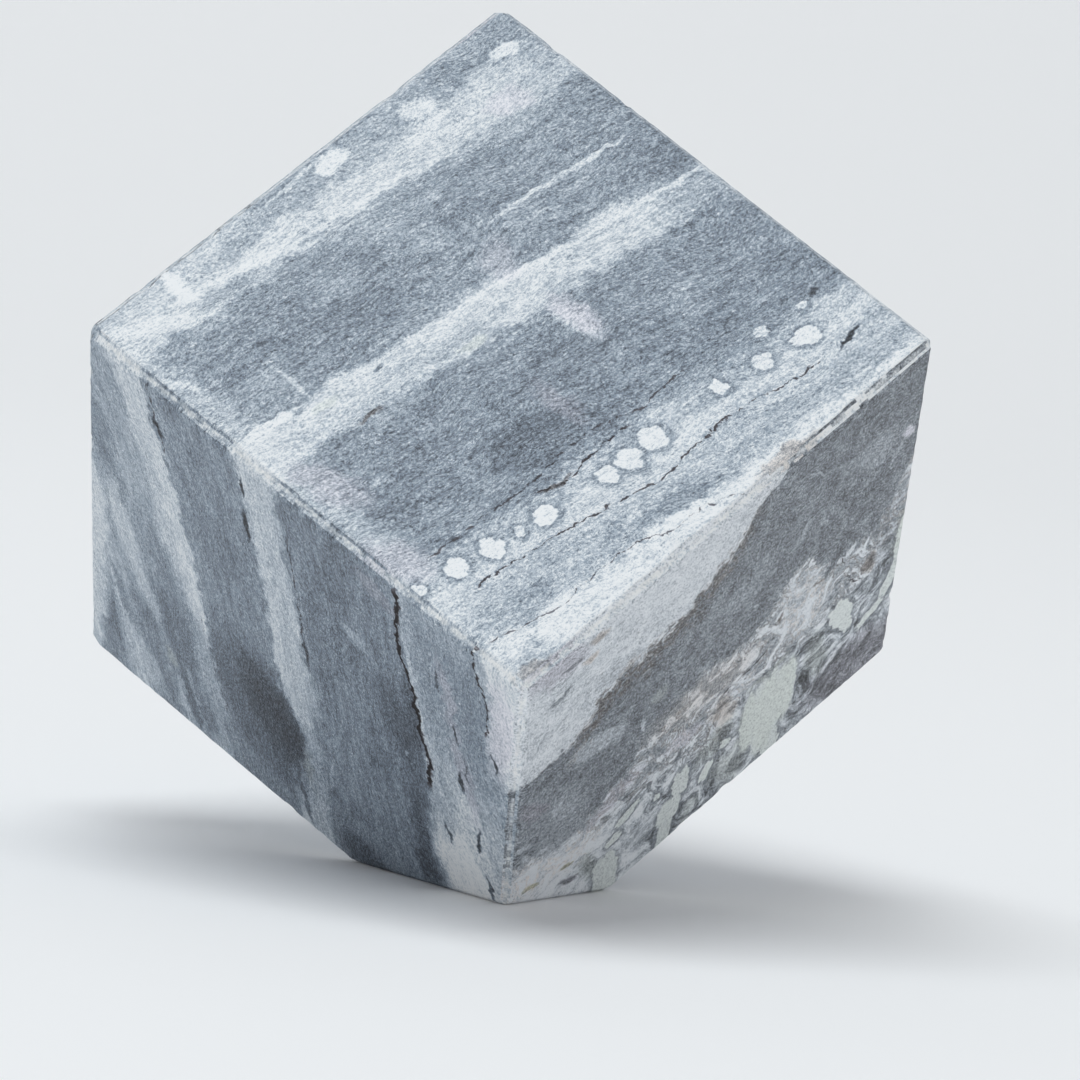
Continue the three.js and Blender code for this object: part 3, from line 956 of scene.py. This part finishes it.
def stone_mesh(settings):
    """The block's mesh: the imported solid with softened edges, worn and chipped in fine steps."""
    bm = bmesh.new()
    bm.from_mesh(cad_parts[NODE].data)
    bmesh.ops.remove_doubles(bm, verts=bm.verts, dist=1e-6)
    bmesh.ops.dissolve_limit(bm, angle_limit=math.radians(1), verts=bm.verts, edges=bm.edges)
    bmesh.ops.bevel(
        bm,
        geom=bm.edges[:],
        offset=settings.softening,
        segments=2,
        profile=0.5,
        affect="EDGES",
        material=-1,
        clamp_overlap=True,
    )
    for axis in range(3):
        direction = AXES.direction(axis)
        for place in cut_places(AXES.sides[axis], settings):
            point = Vector((0, 0, 0))
            point[axis] = place
            bmesh.ops.bisect_plane(
                bm,
                geom=bm.verts[:] + bm.edges[:] + bm.faces[:],
                dist=1e-6,
                plane_co=AXES.to_row @ point,
                plane_no=direction,
            )
    bm.normal_update()
    wear_edges(bm, settings)
    bmesh.ops.recalc_face_normals(bm, faces=bm.faces)
    mesh = bpy.data.meshes.new("honed_block")
    bm.to_mesh(mesh)
    bm.free()
    return mesh


EDGE_REACH = 3.0  # how far from an edge its wear reaches, in millimetres


def wear_edges(bm, settings):
    """Sinks the stone unevenly along its edges, and knocks chips out of them."""
    chips, sizes = chip_places(settings)
    for vertex in bm.verts:
        at = AXES.from_row @ vertex.co
        gaps = sorted(min(at[i], AXES.sides[i] - at[i]) for i in range(3))
        near = max(0.0, 1 - gaps[1] / EDGE_REACH)
        if near > 0:
            uneven = 0.5 + 0.5 * noise.noise(at * 0.45) + 0.35 * noise.noise(at * 1.4)
            sink = settings.edge_wear * near * max(0.0, uneven)
            for place, index, away in chips.find_range(at, settings.chip_size / MM):
                radius, depth = sizes[index]
                rough = 1 + 0.35 * noise.noise(at * 1.1)
                sink += depth * MM * max(0.0, 1 - (away / (radius * rough)) ** 2)
            vertex.co -= vertex.normal * sink


def chip_places(settings):
    """Where chips are knocked out of the edges, with the radius and depth of each."""
    dice = random.Random(SEED)
    places, sizes = [], []
    for _ in range(settings.chips):
        along = dice.randrange(3)
        place = Vector([dice.choice((0.0, side)) for side in AXES.sides])
        place[along] = dice.uniform(2, AXES.sides[along] - 2)
        radius = dice.uniform(0.3, 1.0) ** 1.5 * settings.chip_size / MM
        places.append(place)
        sizes.append((radius, radius * dice.uniform(0.12, 0.3)))
    tree = kdtree.KDTree(len(places))
    for index, place in enumerate(places):
        tree.insert(place, index)
    tree.balance()
    return tree, sizes


class MarbleSettings(bpy.types.PropertyGroup):
    """Sizes of the block's finish."""

    softening: bpy.props.FloatProperty(
        name="Softening",
        description="How far the ridges between the ground flats are rounded",
        default=0.0003,
        unit="LENGTH",
    )
    edge_wear: bpy.props.FloatProperty(
        name="Edge wear",
        description="How deep the edges are worn unevenly",
        default=0.0003,
        unit="LENGTH",
    )
    chips: bpy.props.IntProperty(
        name="Chips", description="How many chips are knocked out of the edges", default=130, min=0
    )
    chip_size: bpy.props.FloatProperty(
        name="Chip size", description="Radius of the largest chip", default=0.0026, unit="LENGTH"
    )
    edge_step: bpy.props.FloatProperty(
        name="Edge step", description="Mesh size along the edges", default=0.0005, unit="LENGTH"
    )
    face_step: bpy.props.FloatProperty(
        name="Face step", description="Mesh size across the sides", default=0.0011, unit="LENGTH"
    )
    edge_band: bpy.props.FloatProperty(
        name="Edge band",
        description="Width of the finely meshed band along each edge",
        default=0.003,
        unit="LENGTH",
    )


class StageSettings(bpy.types.PropertyGroup):
    """The floor, lights and camera."""

    floor_colour: bpy.props.FloatVectorProperty(
        name="Floor colour",
        description="Colour of the floor and backdrop",
        default=(0.96, 0.96, 0.96),
        subtype="COLOR",
        min=0,
        max=1,
    )
    floor_size: bpy.props.FloatProperty(
        name="Floor size", description="Width of the floor", default=8.0, unit="LENGTH"
    )
    backdrop_reach: bpy.props.FloatProperty(
        name="Backdrop reach",
        description="How far behind the middle the floor starts to curve up",
        default=1.2,
        unit="LENGTH",
    )
    backdrop_bend: bpy.props.FloatProperty(
        name="Backdrop bend",
        description="Radius of the curve from the floor up to the backdrop",
        default=0.8,
        unit="LENGTH",
    )
    lens: bpy.props.FloatProperty(
        name="Lens", description="Focal length in millimetres", default=224.5
    )
    camera_distance: bpy.props.FloatProperty(
        name="Camera distance", description="From the camera to its aim", default=1.178, unit="LENGTH"
    )
    camera_turn: bpy.props.FloatProperty(
        name="Camera turn",
        description="How far the camera stands round to the right of the front",
        default=math.radians(1.19),
        subtype="ANGLE",
    )
    camera_rise: bpy.props.FloatProperty(
        name="Camera rise",
        description="How far the camera looks down",
        default=math.radians(4.9),
        subtype="ANGLE",
    )
    camera_roll: bpy.props.FloatProperty(
        name="Camera roll",
        description="How far the camera is tipped about its own line of sight",
        default=math.radians(6.39),
        subtype="ANGLE",
    )


class MARBLE_OT_block(bpy.types.Operator):
    """Makes the worn, honed marble block in place of the plain solid"""

    bl_idname = "marble.block"
    bl_label = "Marble block"

    def execute(self, context):
        settings = context.scene.marble_block
        block = bpy.data.objects.new("honed_block", stone_mesh(settings))
        context.scene.collection.objects.link(block)
        for side in SIDE_NAMES:
            block.data.materials.append(stone_material(side))
        across = [AXES.direction(axis) for axis in (2, 0, 1)]
        for face in block.data.polygons:
            facing = [abs(face.normal.dot(direction)) for direction in across]
            face.material_index = facing.index(max(facing))
            face.use_smooth = True
        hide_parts(NODE)
        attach(block, BODY)
        return {"FINISHED"}


# Soft lights, all turned to one aim: where each stands, its size, its power in watts and its colour.
SoftLight = namedtuple("SoftLight", "name place size power colour")
LIGHTS = (
    SoftLight("top_softbox", (-0.6, -0.6, 3.0), (2.4, 2.4), 52, (0.93, 0.975, 1.0)),
    SoftLight("right_fill", (1.2, -2.1, 0.3), (1.0, 0.7), 3.2, (1.0, 0.985, 0.96)),
    SoftLight("left_fill", (-1.4, -1.9, 0.3), (1.0, 0.7), 2.0, (0.98, 0.99, 1.0)),
)
LIGHT_AIM = Vector((0, 0, 0.08))
ROOM_COLOUR = (0.95, 0.97, 1.0, 1)
ROOM_STRENGTH = 0.42
CAMERA_AIM = Vector((0.00246, -0.00118, 0.06168))


def add_light(context, soft_light):
    """Adds a soft light, turned to the lights' aim."""
    light = bpy.data.lights.new(soft_light.name, "AREA")
    light.shape = "RECTANGLE"
    light.size, light.size_y = soft_light.size
    light.energy = soft_light.power
    light.color = soft_light.colour
    lamp = bpy.data.objects.new(soft_light.name, light)
    lamp.location = soft_light.place
    lamp.rotation_euler = (LIGHT_AIM - lamp.location).to_track_quat("-Z", "Y").to_euler()
    context.scene.collection.objects.link(lamp)


class MARBLE_OT_stage(bpy.types.Operator):
    """Makes the pale floor, the soft lights and the camera"""

    bl_idname = "marble.stage"
    bl_label = "Stage"

    def execute(self, context):
        settings = context.scene.marble_stage
        self.add_floor(context, settings)
        self.add_lights(context)
        self.add_camera(context, settings)
        context.scene.view_settings.view_transform = "Standard"
        return {"FINISHED"}

    def add_floor(self, context, settings):
        """Adds a floor that curves up into a backdrop."""
        bm = bmesh.new()
        half = settings.floor_size / 2
        bmesh.ops.create_grid(bm, x_segments=1, y_segments=96, size=half)
        reach = settings.backdrop_reach
        for vertex in bm.verts:
            past = max(0.0, vertex.co.y - reach)
            turned = min(past / settings.backdrop_bend, math.pi / 2)
            vertex.co.y += settings.backdrop_bend * math.sin(turned) - past
            vertex.co.z = settings.backdrop_bend * (1 - math.cos(turned))
            vertex.co.z += past - turned * settings.backdrop_bend
        floor_mesh = bpy.data.meshes.new("floor")
        bm.to_mesh(floor_mesh)
        bm.free()
        for face in floor_mesh.polygons:
            face.use_smooth = True
        floor = bpy.data.objects.new("floor", floor_mesh)
        material = bpy.data.materials.new("pale_floor")
        material.use_nodes = True
        shader = material.node_tree.nodes["Principled BSDF"]
        shader.inputs["Base Color"].default_value = (*settings.floor_colour, 1)
        shader.inputs["Roughness"].default_value = 0.9
        shader.inputs["Specular IOR Level"].default_value = 0.1
        floor.data.materials.append(material)
        context.scene.collection.objects.link(floor)

    def add_lights(self, context):
        """Adds the room's own light and the soft lights."""
        world = bpy.data.worlds.new("studio")
        context.scene.world = world
        world.use_nodes = True
        background = world.node_tree.nodes["Background"]
        background.inputs["Color"].default_value = ROOM_COLOUR
        background.inputs["Strength"].default_value = ROOM_STRENGTH
        for soft_light in LIGHTS:
            add_light(context, soft_light)

    def add_camera(self, context, settings):
        """Adds a long-lens camera, tipped a little about its line of sight."""
        turn, rise, roll = settings.camera_turn, settings.camera_rise, settings.camera_roll
        forward = Vector(
            (-math.sin(turn) * math.cos(rise), math.cos(turn) * math.cos(rise), -math.sin(rise))
        )
        level = forward.cross(Vector((0, 0, 1))).normalized()
        upright = level.cross(forward)
        right = level * math.cos(roll) + upright * math.sin(roll)
        up = right.cross(forward)
        data = bpy.data.cameras.new("camera")
        data.lens = settings.lens
        data.sensor_width = 36
        data.clip_end = 20
        camera = bpy.data.objects.new("camera", data)
        basis = Matrix((right, up, -forward)).transposed().to_4x4()
        stand = CAMERA_AIM - forward * settings.camera_distance
        camera.matrix_world = Matrix.Translation(stand) @ basis
        context.scene.collection.objects.link(camera)
        context.scene.camera = camera


class MARBLE_PT_panel(bpy.types.Panel):
    """Lists the block's and the stage's settings and buttons"""

    bl_idname = "MARBLE_PT_panel"
    bl_label = "Marble block"
    bl_space_type = "VIEW_3D"
    bl_region_type = "UI"
    bl_category = "Marble"

    def draw(self, context):
        layout = self.layout
        for group, operator in (("marble_block", "marble.block"), ("marble_stage", "marble.stage")):
            settings = getattr(context.scene, group)
            for name in settings.bl_rna.properties.keys():
                if name not in {"rna_type", "name"}:
                    layout.prop(settings, name)
            layout.operator(operator)


CLASSES = (MarbleSettings, StageSettings, MARBLE_OT_block, MARBLE_OT_stage, MARBLE_PT_panel)


def register():
    """Registers the classes and adds their settings to the scene."""
    for cls in CLASSES:
        bpy.utils.register_class(cls)
    bpy.types.Scene.marble_block = bpy.props.PointerProperty(type=MarbleSettings)
    bpy.types.Scene.marble_stage = bpy.props.PointerProperty(type=StageSettings)


def unregister():
    """Takes back what register did."""
    del bpy.types.Scene.marble_stage
    del bpy.types.Scene.marble_block
    for cls in reversed(CLASSES):
        bpy.utils.unregister_class(cls)


def main():
    """Makes the block and its stage."""
    register()
    bpy.ops.marble.block()
    bpy.ops.marble.stage()


if __name__ == "__main__":
    main()
